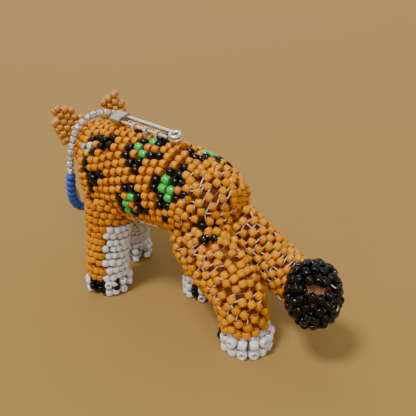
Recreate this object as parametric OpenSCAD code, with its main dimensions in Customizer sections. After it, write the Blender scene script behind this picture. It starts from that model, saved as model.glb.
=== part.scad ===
// Bead-netted spotted cat: stuffed felt cores covered by netted seed beads, with a bead collar round the
// neck and a safety pin on the back. +X to the head, +Y to the animal's left, +Z up, mm.

/* [Beads] */
// Diameter of a seed bead, which is the thickness of the netted skin
bead_d = 1.9; // [1.6:0.1:2.2]
// Length of a seed bead along its hole
bead_len = 1.5; // [1.2:0.1:1.7]
// Diameter of a blue collar bead
blue_d = 2.7; // [2.2:0.1:3]

/* [Torso] */
// Length of the torso, rump to chest
torso_len = 44; // [42:1:47]
// Greatest width of the torso
torso_w = 22; // [21:1:24]
// Height of the torso at the shoulders
torso_h = 24; // [23:1:26]
// Height of the torso's centre line at the shoulders above the ground
shoulder_z = 32; // [31:0.5:33]

/* [Legs] */
// Radius of a leg
leg_r = 5.7; // [5.2:0.1:6]
// Radius of a paw
paw_r = 6.3; // [6:0.1:6.6]
// Height of a paw
paw_h = 4.6; // [4:0.2:5]

/* [Head] */
// How far the head is turned to the animal's right, in degrees
head_turn = 30; // [25:1:34]
// How far the head leans to the animal's left, in degrees
head_lean = 12; // [4:1:14]
// Width of the skull
head_w = 15; // [14:0.5:15.5]

/* [Tail] */
// Radius of the tail behind the rump
tail_r = 5.3; // [5:0.1:5.6]
// Radius of the black end of the tail
tip_r = 6.4; // [6:0.1:6.8]

/* [Collar] */
// Half the width of the collar loop
collar_w = 9.2; // [9.1:0.1:9.6]
// Half the height of the collar loop
collar_h = 14; // [13.8:0.1:14.4]

/* [Safety pin] */
// Diameter of the pin's back wire
pin_wire = 1; // [0.8:0.1:1.1]
// Length of the pin, coil to clasp
pin_len = 18.5; // [18:0.5:20]

/* [Hidden] */

// The box's middle is over the origin
shift = [-0.565, 1.89, 0];

fit = 0.06;          // clearance between a net and what it covers
skin = bead_d;
amber = "orange";
felt = "saddlebrown";

UP = [0, 0, 1];
FORWARD = [1, 0, 0];

// ---- smooth lofts through stations [x, y, z, half width, half height]
function unit(v) = v / norm(v);
function blend(a, b, c, d, t) =
  ((3*b - 3*c + d - a)*t*t*t + (2*a - 5*b + 4*c - d)*t*t + (c - a)*t + 2*b) / 2;
function smooth(p, n) = [
  for (i = [0:len(p) - 2]) for (k = [0:n - 1])
    blend(p[max(i - 1, 0)], p[i], p[i + 1], p[min(i + 2, len(p) - 1)], k/n),
  p[len(p) - 1]
];
function centre(s) = [s[0], s[1], s[2]];
function ring(s, along, up, sides, grow) =
  let (u = unit(cross(up, along)), v = unit(cross(along, u)))
  [for (k = [0:sides - 1]) let (a = 360*(k + 0.5)/sides)
    centre(s) + max(s[3] + grow, 0.3)*cos(a)*u + max(s[4] + grow, 0.3)*sin(a)*v];
function stretched(p, d) =
  let (n = len(p) - 1, a = unit(centre(p[0]) - centre(p[1])), b = unit(centre(p[n]) - centre(p[n - 1])))
  [for (i = [0:n]) let (m = i == 0 ? d*a : i == n ? d*b : [0, 0, 0])
    [p[i][0] + m[0], p[i][1] + m[1], p[i][2] + m[2], p[i][3], p[i][4]]];

module loft(stations, up = UP, sides = 24, steps = 2, grow = 0) {
  path = smooth(stations, steps);
  last = len(path) - 1;
  points = [
    for (i = [0:last])
      each ring(path[i], unit(centre(path[min(i + 1, last)]) - centre(path[max(i - 1, 0)])), up, sides, grow)
  ];
  walls = [
    for (i = [0:last - 1], k = [0:sides - 1])
      let (a = i*sides + k, b = i*sides + (k + 1) % sides)
      each [[a, a + sides, b + sides], [a, b + sides, b]]
  ];
  ends = [[for (k = [0:sides - 1]) k], [for (k = [sides - 1:-1:0]) last*sides + k]];
  polyhedron(points, concat(walls, ends), convexity = 6);
}

// ---- torso
rump_x = -19;
TORSO = [  // along, drop of the centre line, width and height as parts of the largest
  [0.00, 4.5, 0.20, 0.24], [0.02, 4.4, 0.52, 0.50], [0.10, 3.8, 0.78, 0.73], [0.25, 2.7, 0.94, 0.88],
  [0.43, 1.5, 0.98, 0.92], [0.70, 0.5, 1.00, 1.00], [0.88, 0.0, 0.95, 1.00], [0.97, 0.0, 0.80, 0.88],
  [1.00, 0.0, 0.50, 0.56]
];
torso_mid = rump_x + torso_len/2;
function torso_line(inset) = [for (s = TORSO) [
  torso_mid + (s[0] - 0.5)*(torso_len - 2*inset), 0, shoulder_z - s[1],
  s[2]*torso_w/2 - inset, s[3]*torso_h/2 - inset
]];
module torso_solid(inset = 0) loft(torso_line(inset), sides = 28, steps = 2);

// Rosettes: [x, angle up from the left side, outer radius, inner radius, 1 if it has orange beads]
ROSETTES = [
  [2.5, 52, 4.7, 2.5, 1], [5.3, -18, 4.3, 2.4, 1], [-6.5, 22, 5.2, 3, 0],
  [2.5, 128, 4.7, 2.5, 1], [5.3, 198, 4.3, 2.4, 1], [-6.5, 158, 5.2, 3, 0], [-9.5, 90, 4, 2, 0]
];
// Small spots on the shoulders
SHOULDER_SPOTS = [[17, 36, 3.6], [17, -8, 2.6], [17, 144, 3.6], [17, 188, 2.6]];
function torso_z(x) = shoulder_z - lookup((x - rump_x)/torso_len, [for (s = TORSO) [s[0], s[1]]]);
module across_skin(x, angle) translate([x, 0, torso_z(x)]) rotate([angle, 0, 0]) rotate([-90, 0, 0])
  children();
module spot_cut(s, r) across_skin(s[0], s[1]) cylinder(h = torso_h, r = r, $fn = 24);

belly_z = 21.8;  // the white belly lies below this height
module belly_cut(gap = 0) translate([rump_x - 1, -torso_w, 0])
  cube([torso_len + 2, 2*torso_w, belly_z - gap]);

module torso_skin() difference() {
  torso_solid();
  torso_solid(skin);
}
module torso_core() color(felt) torso_solid(skin + fit);
module torso_net() color(amber) difference() {
  torso_skin();
  belly_cut();
  for (s = concat(ROSETTES, SHOULDER_SPOTS)) spot_cut(s, s[2]);
}
module belly_panel() color("ivory") intersection() {
  torso_skin();
  belly_cut(fit);
}
module rosette_rings() color([0.05, 0.05, 0.05]) intersection() {
  torso_skin();
  for (s = ROSETTES) difference() {
    spot_cut(s, s[2] - fit);
    spot_cut(s, s[3]);
  }
  above_belly();
}
module above_belly() translate([rump_x - 1, -torso_w, belly_z]) cube([torso_len + 2, 2*torso_w, torso_h]);
// The rear part of a rosette's middle, which holds its orange beads
orange_x = -0.8;
module orange_part(s, gap) translate([s[0] + orange_x - torso_w - gap, -torso_w, 0])
  cube([torso_w, 2*torso_w, 2*torso_w]);
module rosette_greens() color([0.25, 0.75, 0.35]) intersection() {
  torso_skin();
  for (s = ROSETTES) difference() {
    spot_cut(s, s[3] - fit);
    if (s[4] == 1) orange_part(s, 0);
  }
  above_belly();
}
module rosette_oranges() color([1, 0.5, 0.15]) intersection() {
  torso_skin();
  for (s = ROSETTES) if (s[4] == 1) intersection() {
    spot_cut(s, s[3] - fit);
    orange_part(s, fit);
  }
  above_belly();
}
module shoulder_beads() color("black") intersection() {
  torso_skin();
  for (s = SHOULDER_SPOTS) spot_cut(s, s[2] - fit);
}

// ---- legs: stations from the top of the paw to inside the torso
// Paws: front left, front right, rear left, rear right
PAWS = [[17.5, 6.8], [25, -10], [-25.5, 7.4], [-5.5, -5.8]];
function side(i) = i % 2 == 0 ? 1 : -1;
function leg_line(i) = let (p = PAWS[i], s = side(i), low = paw_h - 1.5) i < 2 ? [
  [p[0], p[1], low, leg_r, leg_r], [p[0], p[1], 8, leg_r, leg_r],
  [0.6*p[0] + 7, 0.85*p[1], 15, leg_r, leg_r], [17, 5*s, 24, 1.1*leg_r, 1.15*leg_r],
  [17, 3.5*s, 30, leg_r, 1.1*leg_r]
] : [
  [p[0], p[1], low, leg_r, leg_r], [0.95*p[0] - 0.4, p[1], 8, leg_r, leg_r],
  [0.65*p[0] - 5, 0.7*p[1] + 2*s, 14, 0.95*leg_r, 1.2*leg_r], [-11.5, 5*s, 22, 0.84*leg_r, 1.5*leg_r],
  [-8, 4*s, 28, 0.55*leg_r, 0.9*leg_r]
];
module leg_tube(i, inset) loft(stretched(leg_line(i), inset > 0 && inset == skin ? 1 : 0),
  up = FORWARD, sides = 18, grow = -inset);
leg_top = 26;  // the legs end inside the torso's side, below this height
module body_room() union() {
  torso_solid(-fit);
  tail_room();
  translate([-40, -20, leg_top]) cube([80, 40, 10]);
  translate([-40, -20, paw_h + fit - 10]) cube([80, 40, 10]);
}
module leg_core(i) color(felt) difference() {
  leg_tube(i, skin + fit);
  body_room();
}
module leg_skin(i) difference() {
  leg_tube(i, 0);
  leg_tube(i, skin);
  body_room();
}
// White covers the inner and rear of a front leg and the inner side of a rear one, past a plane
// along the leg: [way that the white faces on a left leg, distance of the plane from the leg's line]
WHITE = [[209, 0], [209, 0], [270, 1.2], [270, 1.2]];
module inner_side(i, gap) {
  low = centre(leg_line(i)[0]);
  way = unit(centre(leg_line(i)[3]) - low);
  facing = [cos(WHITE[i][0]), side(i)*sin(WHITE[i][0]), 0];
  out = unit(facing - (facing*way)*way);
  translate(low + (WHITE[i][1] + gap)*out) rotate([0, acos(out[2]), atan2(out[1], out[0])])
    translate([-40, -40, 0]) cube([80, 80, 40]);
}
module leg_net(i) color(amber) difference() {
  leg_skin(i);
  inner_side(i, 0);
}
module inner_panel(i) color("white") intersection() {
  leg_skin(i);
  inner_side(i, fit);
}
module front_left_leg_core() leg_core(0);
module front_right_leg_core() leg_core(1);
module rear_left_leg_core() leg_core(2);
module rear_right_leg_core() leg_core(3);
module front_left_leg_net() leg_net(0);
module front_right_leg_net() leg_net(1);
module rear_left_leg_net() leg_net(2);
module rear_right_leg_net() leg_net(3);
module front_left_inner_panel() inner_panel(0);
module front_right_inner_panel() inner_panel(1);
module rear_left_inner_panel() inner_panel(2);
module rear_right_inner_panel() inner_panel(3);

// ---- paws: flat-soled pads with black lines of beads between the toes
sole_r = 4.6;
toe_line_w = 1.7;
TOES = [[-25, 30, 85, 113, 156], [-50, -5, 40, 100], [-65, -15, 36], [-40, 5, 94, 136]];
module paw_body() rotate_extrude() polygon(concat(
  [[0, 0], [sole_r, 0]],
  [for (a = [0:15:75]) [paw_r - (paw_r - sole_r)*(1 - sin(a)), paw_h*0.45*(1 - cos(a))]],
  [[paw_r, paw_h*0.45], [paw_r, paw_h*0.7], [leg_r, paw_h], [0, paw_h]]
));
module toe_slabs(i, gap) for (a = TOES[i]) rotate(a)
  translate([paw_r - toe_line_w + gap, -toe_line_w/2 + gap, 0.9 + gap])
    cube([2*toe_line_w, toe_line_w - 2*gap, paw_h]);
module paw(i) color("white") translate([PAWS[i][0], PAWS[i][1], 0]) difference() {
  paw_body();
  toe_slabs(i, 0);
}
module toe_lines() color("black") for (i = [0:3]) translate([PAWS[i][0], PAWS[i][1], 0]) intersection() {
  paw_body();
  toe_slabs(i, fit);
}
module front_left_paw() paw(0);
module front_right_paw() paw(1);
module rear_left_paw() paw(2);
module rear_right_paw() paw(3);

// ---- tail: it swings a little from side to side on its stitching
tail_pivot = [-15.5, -0.6, 25];
tail_gap = 0.4;
tip_axis = unit([-0.42, 0.76, 0.5]);
tip_base = [-37.6, 1.8, 14.4];
TAIL = [
  [-12, -0.4, 27.5, 0.88*tail_r, 1.1*tail_r], [-19.5, -0.8, 23.2, 0.86*tail_r, 1.12*tail_r],
  [-27, -1.4, 17.4, 0.83*tail_r, 1.14*tail_r], [-33, -0.8, 14.6, 0.86*tail_r, 1.14*tail_r],
  [-36.2, 0.4, 14.2, 0.92*tail_r, 1.16*tail_r]
];
TIP = [  // along the tip's axis, half width and half height as parts of tip_r
  [0.2, 0.85, 1.05], [2, 0.92, 1.12], [5, 0.88, 1.08], [7, 0.72, 0.9], [8.4, 0.38, 0.46], [8.7, 0.12, 0.15]
];
function tip_line() = [for (s = TIP) let (c = tip_base + s[0]*tip_axis)
  [c[0], c[1], c[2], s[1]*tip_r, s[2]*tip_r]];
function tail_station(along) = let (c = tip_base + along*tip_axis)
  [c[0], c[1], c[2], 0.93*tail_r, 1.16*tail_r];
function tail_line() = concat(TAIL, [tail_station(0), tail_station(3)]);
module tail_tube(grow) loft(tail_line(), sides = 20, grow = grow);
// Space that the tail sweeps, which the legs stay out of, and the same for the rump beside the tail
module tail_room() tail_tube(tail_gap + 1.1);
module rump_room() torso_solid(-tail_gap - 0.3);
module along_tip(d) translate(tip_base + d*tip_axis)
  rotate([0, acos(tip_axis[2]), atan2(tip_axis[1], tip_axis[0])]) children();
module beyond_tip_base() along_tip(0) translate([-15, -15, 0]) cube([30, 30, 20]);
module tail_core() color(felt) difference() {
  tail_tube(-skin - fit);
  rump_room();
  beyond_tip_base();
}
module tail_net() color(amber) difference() {
  tail_tube(0);
  loft(stretched(tail_line(), 1), sides = 20, grow = -skin);
  rump_room();
  beyond_tip_base();
}
module tail_tip() color([0.04, 0.04, 0.05]) difference() {
  loft(tip_line(), sides = 24);
  along_tip(4) cylinder(h = 8, r = 0.5);
}

// ---- head: its own frame has +X to the nose and its origin inside the shoulders
head_base = [20, -0.2, 33.5];
head_drop = 4;
module in_head() translate(head_base) rotate([-head_lean, head_drop, -head_turn]) children();
HEAD = [  // along, rise of the centre line, width and height as parts of the skull's
  [0, 0, 0.88, 0.93], [6, 0.5, 0.84, 0.90], [10, 1, 0.88, 0.92], [15, 1.5, 1, 1], [19, 0.9, 0.95, 0.92],
  [22, -0.8, 0.76, 0.74], [25, -1.9, 0.68, 0.60], [26.8, -2.2, 0.55, 0.46], [27.6, -2.3, 0.34, 0.28]
];
head_len = HEAD[len(HEAD) - 1][0];
function head_line(inset) = [for (s = HEAD) [
  s[0]*(head_len - inset)/head_len, 0, s[1], s[2]*head_w/2 - inset, s[3]*head_w/2 - inset
]];
muzzle_x = 20.5;  // the white muzzle starts here, below its middle line
module head_tube(inset = 0) in_head() loft(head_line(inset), sides = 22);
eye_place = [19.9, 5.6, 3.5];
eye_turn = [0, 66, 44];
module at_eye(side) in_head() translate([eye_place[0], side*eye_place[1], eye_place[2]])
  rotate([0, eye_turn[1], side*eye_turn[2]]) children();
module eye_sockets() for (side = [-1, 1]) at_eye(side) translate([0, 0, -2.2]) cylinder(h = 6, r = 1.55);
module head_skin() difference() {
  head_tube();
  head_tube(skin);
  torso_solid(-fit);
  eye_sockets();
}
module muzzle_cut(gap) in_head() translate([muzzle_x + gap, -head_w, -head_w - 1.2 - gap])
  cube([20, 2*head_w, head_w]);
module head_core() color(felt) difference() {
  head_tube(skin + fit);
  torso_solid(-fit);
  eye_sockets();
}
module head_net() color(amber) difference() {
  head_skin();
  muzzle_cut(0);
}
module muzzle_panel() color("white") intersection() {
  head_skin();
  muzzle_cut(fit);
}

// A glass bead on the Z axis
module bead(d, long, hole = 0.4) rotate_extrude() polygon([
  [hole, -long/2], [0.41*d, -long/2], [0.5*d, -long/4], [0.5*d, long/4], [0.41*d, long/2], [hole, long/2]
]);
eye_d = 2.4;
pupil_r = 0.8;
module eye(side) {
  color("gold") at_eye(side) bead(eye_d, bead_len);
  color("black") at_eye(side) translate([0, 0, bead_len/2 + pupil_r + fit]) sphere(r = pupil_r, $fn = 32);
}
module left_eye() eye(1);
module right_eye() eye(-1);
nose_x = head_len + bead_d/2 + 4*fit;
nose_z = HEAD[len(HEAD) - 1][1] + 0.4;
module nose_beads() color("black") in_head() {
  for (y = [-1, 1]) translate([nose_x, y*(bead_len/2 + 0.1), nose_z + 1.1]) rotate([90, 0, 0])
    bead(bead_d, bead_len);
  translate([nose_x, 0, nose_z - 0.9]) rotate([90, 0, 0]) bead(bead_d, bead_len);
}

// ---- ears: beaded flaps, rounded at the top, sewn upright on the skull
ear_w = 8.2;
ear_h = 9.6;
ear_x = 14.8;
ear_splay = 20;
module ear(side) color(amber) difference() {
  in_head() translate([ear_x, side*4.6, 5.4]) rotate([-side*ear_splay, 0, 0]) rotate([90, 0, 90])
    translate([0, 0, -bead_d/2]) linear_extrude(bead_d) polygon(concat(
      [[-ear_w/2, 0]], [for (a = [170:-10:10]) [ear_w/2*cos(a), ear_h*pow(sin(a), 0.8)]], [[ear_w/2, 0]]
    ));
  head_tube(-fit);
}
module left_ear() ear(1);
module right_ear() ear(-1);

// ---- collar: a strand of beads threaded in a loop round the neck
collar_mid = [27.6, -3.9, 30.5];
collar_turn = 25;
collar_lean = 0.12;
collar_swell = 4;  // how far the hanging half bulges forward of the chest
cord_r = 0.2;
collar_steps = 72;
function soft(v) = sign(v)*pow(abs(v), 0.8);
function collar_at(t) = let (w = collar_w*soft(cos(t)), h = collar_h*soft(sin(t)))
  collar_mid + [
    w*sin(collar_turn) - collar_lean*h + collar_swell*pow(min(h, 0)/collar_h, 2),
    w*cos(collar_turn), h];
COLLAR = [for (i = [0:collar_steps - 1]) collar_at(360*i/collar_steps)];
function length_to(i) = i == 0 ? 0 : length_to(i - 1) + norm(COLLAR[i % collar_steps] - COLLAR[i - 1]);
RUN = [for (i = [0:collar_steps]) length_to(i)];
collar_len = RUN[collar_steps];
function along_collar(s) = collar_at(lookup(s, [for (i = [0:collar_steps]) [RUN[i], 360*i/collar_steps]]));
module collar_cord() color("white") {
  rings = [for (i = [0:collar_steps - 1]) ring(
    [COLLAR[i][0], COLLAR[i][1], COLLAR[i][2], cord_r, cord_r],
    unit(COLLAR[(i + 1) % collar_steps] - COLLAR[(i + collar_steps - 1) % collar_steps]),
    [cos(collar_turn), -sin(collar_turn), 0], 8, 0)];
  polyhedron([for (r = rings) each r], [
    for (i = [0:collar_steps - 1], k = [0:7]) let (
      a = 8*i + k, b = 8*i + (k + 1) % 8, c = 8*((i + 1) % collar_steps) + k,
      d = 8*((i + 1) % collar_steps) + (k + 1) % 8)
      each [[a, c, d], [a, d, b]]
  ], convexity = 6);
}
// Beads at even steps: clear ones over the top, blue ones round the front
collar_beads = floor(collar_len/(bead_len + 0.22));
collar_pitch = collar_len/collar_beads;
blue_len = 0.84*bead_len;
BLUE_FROM = 0.485;  // parts of the loop, counted from its left side over the top
BLUE_TO = 0.985;
module collar_row(blue) for (i = [0:collar_beads - 1]) {
  part = (i + 0.5)/collar_beads;
  is_blue = part > BLUE_FROM && part < BLUE_TO;
  if (is_blue == blue && abs(part - stitch_part) > 0.5/collar_beads) {
    here = along_collar((i + 0.5)*collar_pitch);
    way = along_collar((i + 0.6)*collar_pitch) - along_collar((i + 0.4)*collar_pitch);
    translate(here) rotate([0, acos(way[2]/norm(way)), atan2(way[1], way[0])])
      bead(blue ? blue_d : bead_d, blue ? blue_len : bead_len, cord_r + 0.12);
  }
}
module collar_clear_beads() color([0.85, 0.88, 0.92]) collar_row(false);
module collar_blue_beads() color([0.4, 0.5, 0.8]) collar_row(true);

// ---- safety pin: it lies on the back, its arm threaded through the net, and turns about the arm
pin_rear = [-2, 2.3, 42.4];
pin_tilt = 8;
pin_gap = 2.4;   // from the arm to the back wire
pin_roll = 17;   // the pin lies on the slope of the back
arm_wire = 0.75*pin_wire;
clasp_len = 2.8;
module in_pin() translate(pin_rear) rotate([0, -pin_tilt, 0]) rotate([-pin_roll, 0, 0]) children();
module rod(x0, x1, d) translate([x0, 0, 0]) rotate([0, 90, 0]) cylinder(h = x1 - x0, r = d/2);
module pin_back() color("silver") in_pin() union() {
  translate([0, -pin_gap, 0]) rod(0, pin_len - clasp_len, pin_wire);
  for (z = [-0.48, 0.48]) translate([0, -pin_gap/2, z*pin_wire])
    rotate_extrude() translate([pin_gap/2, 0]) circle(r = pin_wire/2);
}
module pin_arm() color("silver") in_pin() rod(pin_wire*1.6, pin_len - 0.8, arm_wire);
module pin_clasp() color("silver") in_pin() translate([pin_len - clasp_len + fit, -pin_gap/2, 0])
  rotate([90, 0, 90]) difference() {
    linear_extrude(clasp_len) union() {
      square([pin_gap, 2*pin_wire], center = true);
      for (y = [-1, 1]) translate([y*pin_gap/2, 0]) circle(r = pin_wire);
    }
    translate([pin_gap/2, 0, -1]) cylinder(h = clasp_len + 0.2, r = arm_wire/2 + 0.15);
  }
thread_r = 0.16;
STITCHES = [0.24, 0.42, 0.62];  // places along the arm
module pin_stitches() color("white") difference() {
  in_pin() for (part = STITCHES) translate([part*pin_len, 0, 0]) rotate([90, 0, 90]) {
    rotate_extrude(angle = 180) translate([arm_wire/2 + 2*thread_r, 0]) circle(r = thread_r);
    for (y = [-1, 1]) translate([y*(arm_wire/2 + 2*thread_r), 0, 0]) rotate([90, 0, 0])
      cylinder(h = 2.5, r = thread_r);
  }
  torso_solid(-fit);
}

// ---- the stitch that ties the collar to the top of the neck
stitch_part = 0.28;
stitch_at = along_collar(stitch_part*collar_len);
module collar_stitch() color("white") difference() {
  translate(stitch_at) rotate(-collar_turn) rotate([90, 0, 0]) {
    rotate_extrude(angle = 180) translate([cord_r + 2*thread_r, 0]) circle(r = thread_r);
    for (x = [-1, 1]) translate([x*(cord_r + 2*thread_r), 0, 0]) rotate([90, 0, 0])
      cylinder(h = 8, r = thread_r);
  }
  head_tube(-fit);
  torso_solid(-fit);
}

translate(shift) torso_core();
translate(shift) torso_net();
translate(shift) belly_panel();
translate(shift) rosette_rings();
translate(shift) rosette_greens();
translate(shift) rosette_oranges();
translate(shift) shoulder_beads();
translate(shift) head_core();
translate(shift) head_net();
translate(shift) muzzle_panel();
translate(shift) left_ear();
translate(shift) right_ear();
translate(shift) left_eye();
translate(shift) right_eye();
translate(shift) nose_beads();
translate(shift) front_left_leg_core();
translate(shift) front_right_leg_core();
translate(shift) rear_left_leg_core();
translate(shift) rear_right_leg_core();
translate(shift) front_left_leg_net();
translate(shift) front_right_leg_net();
translate(shift) rear_left_leg_net();
translate(shift) rear_right_leg_net();
translate(shift) front_left_inner_panel();
translate(shift) front_right_inner_panel();
translate(shift) rear_left_inner_panel();
translate(shift) rear_right_inner_panel();
translate(shift) front_left_paw();
translate(shift) front_right_paw();
translate(shift) rear_left_paw();
translate(shift) rear_right_paw();
translate(shift) toe_lines();
translate(shift) tail_core();
translate(shift) tail_net();
translate(shift) tail_tip();
translate(shift) collar_cord();
translate(shift) collar_clear_beads();
translate(shift) collar_blue_beads();
translate(shift) collar_stitch();
translate(shift) pin_arm();
translate(shift) pin_stitches();
translate(shift) pin_back();
translate(shift) pin_clasp();
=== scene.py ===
"""Beaded spotted cat: separate glass beads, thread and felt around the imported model. Metres."""
import math
import bpy
import numpy as np
from mathutils import Matrix, Vector
from mathutils.bvhtree import BVHTree
from mathutils.kdtree import KDTree
from mathutils.noise import noise


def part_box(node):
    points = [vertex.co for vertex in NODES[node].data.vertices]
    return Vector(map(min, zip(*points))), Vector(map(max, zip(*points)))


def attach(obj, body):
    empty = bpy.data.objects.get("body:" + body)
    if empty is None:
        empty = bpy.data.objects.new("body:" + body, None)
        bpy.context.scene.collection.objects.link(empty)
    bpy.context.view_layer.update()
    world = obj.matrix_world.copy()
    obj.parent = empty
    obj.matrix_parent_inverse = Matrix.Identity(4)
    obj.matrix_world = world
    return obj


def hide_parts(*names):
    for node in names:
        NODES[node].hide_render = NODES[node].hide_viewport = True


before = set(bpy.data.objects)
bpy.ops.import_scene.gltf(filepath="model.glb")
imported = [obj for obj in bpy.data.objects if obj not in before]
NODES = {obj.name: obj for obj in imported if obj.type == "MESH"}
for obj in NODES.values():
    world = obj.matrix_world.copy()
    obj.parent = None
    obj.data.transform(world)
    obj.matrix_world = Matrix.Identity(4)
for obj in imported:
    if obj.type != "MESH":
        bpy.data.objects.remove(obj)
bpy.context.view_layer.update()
MM = 0.001
SHIFT = np.array([-0.565, 1.89, 0.0])      # the design's origin in the row frame, mm
rng = np.random.default_rng(11)

BEAD_R = 0.95       # radius of a seed bead, mm
BEAD_HALF = 0.80    # half its length along the hole, mm


def place(point):
    """A design point in mm as a point in the row frame, in metres."""
    return (np.asarray(point, float) + SHIFT) * MM


def unit(way):
    """That way with a length of 1."""
    return way / max(np.linalg.norm(way), 1e-12)


# ---------------------------------------------------------------- camera
VIEW_AZIMUTH, VIEW_ELEVATION = math.radians(214.52), math.radians(21.78)
VIEW_TARGET, VIEW_DISTANCE, LENS = (-10.26, 0, 26.8), 0.11012, 41.01


def make_camera():
    """The photograph's view; an azimuth of 0 looks along +Y."""
    level = math.cos(VIEW_ELEVATION)
    look = Vector((-math.sin(VIEW_AZIMUTH) * level, math.cos(VIEW_AZIMUTH) * level,
                   -math.sin(VIEW_ELEVATION)))
    data = bpy.data.cameras.new("camera")
    data.lens, data.sensor_width, data.clip_start = LENS, 36, 0.005
    camera = bpy.data.objects.new("camera", data)
    camera.location = Vector(place(VIEW_TARGET)) - look * VIEW_DISTANCE
    camera.rotation_euler = look.to_track_quat("-Z", "Y").to_euler()
    bpy.context.scene.collection.objects.link(camera)
    bpy.context.scene.camera = camera


make_camera()


# ---------------------------------------------------------------- materials
class Shader:
    """A Principled material with short helpers for its nodes."""

    def __init__(self, name, **sockets):
        self.material = bpy.data.materials.new(name)
        self.material.use_nodes = True
        self.tree = self.material.node_tree
        self.bsdf = self.tree.nodes["Principled BSDF"]
        for key, value in sockets.items():
            self.bsdf.inputs[key.replace("_", " ")].default_value = value

    def add(self, kind, **settings):
        made = self.tree.nodes.new(kind)
        for key, value in settings.items():
            setattr(made, key, value)
        return made

    def link(self, out, into):
        self.tree.links.new(out, into)

    def feed(self, made, *inputs):
        """Give a node's inputs, by name or number, another node's output, a number or a colour each."""
        for key, value in inputs:
            if hasattr(value, "links"):
                self.link(value, made.inputs[key])
            elif isinstance(value, (int, float)):
                made.inputs[key].default_value = value
            else:
                made.inputs[key].default_value = (*value, 1)
        return made

    def attribute(self, name):
        return self.add("ShaderNodeAttribute", attribute_name=name)

    def place(self):
        """Where on the object a point is."""
        return self.add("ShaderNodeTexCoord").outputs["Object"]

    def noise(self, vector, scale, detail=3.0, rough=0.5):
        inputs = ("Scale", scale), ("Detail", detail), ("Roughness", rough), ("Vector", vector)
        return self.feed(self.add("ShaderNodeTexNoise"), *inputs).outputs["Fac"]

    def stretch(self, vector, scale):
        made = self.add("ShaderNodeMapping")
        made.inputs["Scale"].default_value = scale
        self.link(vector, made.inputs["Vector"])
        return made.outputs["Vector"]

    def ramp(self, value, stops):
        made = self.add("ShaderNodeValToRGB")
        ramp = made.color_ramp
        while len(ramp.elements) < len(stops):
            ramp.elements.new(0.5)
        for element, (at, colour) in zip(ramp.elements, stops):
            element.position = at
            element.color = (*colour, 1) if len(colour) == 3 else colour
        self.link(value, made.inputs["Fac"])
        return made.outputs["Color"]

    def mix(self, factor, a, b, blend="MIX"):
        made = self.add("ShaderNodeMix", data_type="RGBA", blend_type=blend)
        return self.feed(made, (0, factor), (6, a), (7, b)).outputs[2]

    def math(self, operation, a, b=0.0, clamp=False):
        made = self.add("ShaderNodeMath", operation=operation, use_clamp=clamp)
        return self.feed(made, (0, a), (1, b)).outputs[0]

    def bump(self, height, strength, distance):
        inputs = ("Strength", strength), ("Distance", distance), ("Height", height)
        made = self.feed(self.add("ShaderNodeBump"), *inputs)
        self.link(made.outputs["Normal"], self.bsdf.inputs["Normal"])

    def colour(self, out):
        self.link(out, self.bsdf.inputs["Base Color"])

    def roughness(self, out):
        self.link(out, self.bsdf.inputs["Roughness"])


def glass_bead(name, tints, middle, shaded_ends, rough, see_through, glow, coat, gloss):
    """Drawn glass: colour runs from the middle to darker ends of the hole, painted shade where beads meet
    and inside the hole as well as the glass's deeper tone, with fine streaks along the bead, a shade of its
    own for each bead, and a few specks of wear."""
    s = Shader(name, IOR=1.52, Transmission_Weight=see_through, Subsurface_Weight=glow,
               Subsurface_Radius=(1.0, 0.6, 0.25), Subsurface_Scale=0.0012, Coat_Weight=coat,
               Coat_Roughness=0.05, Specular_IOR_Level=gloss)
    spot = s.attribute("bead_pos").outputs["Vector"]
    shade = s.attribute("tint").outputs["Fac"]
    end = s.attribute("end").outputs["Fac"]
    streak = s.noise(s.stretch(spot, (1, 1, 0.16)), 2.6, 4, 0.6)
    # painted shade: the ends and the hole take the darker end colour, partly the glass's own deeper tone
    body = s.mix(s.ramp(end, ((0.25, (0, 0, 0)), (0.95, (1, 1, 1)))), middle, shaded_ends)
    steps = tuple((i / (len(tints) - 1), tint) for i, tint in enumerate(tints))
    body = s.mix(1.0, body, s.ramp(shade, steps), "MULTIPLY")
    body = s.mix(s.math("MULTIPLY", streak, 0.5), body, tuple(0.55 * c for c in middle))
    s.colour(body)
    wear = s.noise(spot, 5.5, 5, 0.62)
    s.roughness(s.math("ADD", s.math("MULTIPLY", wear, 0.22), rough - 0.08))
    s.bump(s.math("ADD", s.math("MULTIPLY", wear, 0.4), streak), 0.22, 0.00006)
    return s.material


def silver_lined_bead():
    """Clear glass over a silver lining, with painted glints: its colour is painted in small bright and grey
    facets.
    """
    s = Shader("clear_glass", Metallic=0.3, IOR=1.5, Coat_Weight=1.0, Coat_Roughness=0.03)
    spot = s.attribute("bead_pos").outputs["Vector"]
    cell = s.feed(s.add("ShaderNodeTexVoronoi"), ("Scale", 1.6), ("Vector", spot))
    # painted glints and shade: bright white and grey facets over the lining's own silver stand in for its
    # sparkle
    painted_glints = ((0.12, (1.0, 1.0, 1.0)), (0.42, (0.96, 0.97, 1.0)), (0.66, (0.42, 0.40, 0.42)))
    s.colour(s.ramp(cell.outputs["Distance"], painted_glints))
    s.roughness(s.math("ADD", s.math("MULTIPLY", s.noise(spot, 3.0), 0.2), 0.08))
    s.bump(cell.outputs["Distance"], 0.9, 0.0003)
    return s.material


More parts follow.
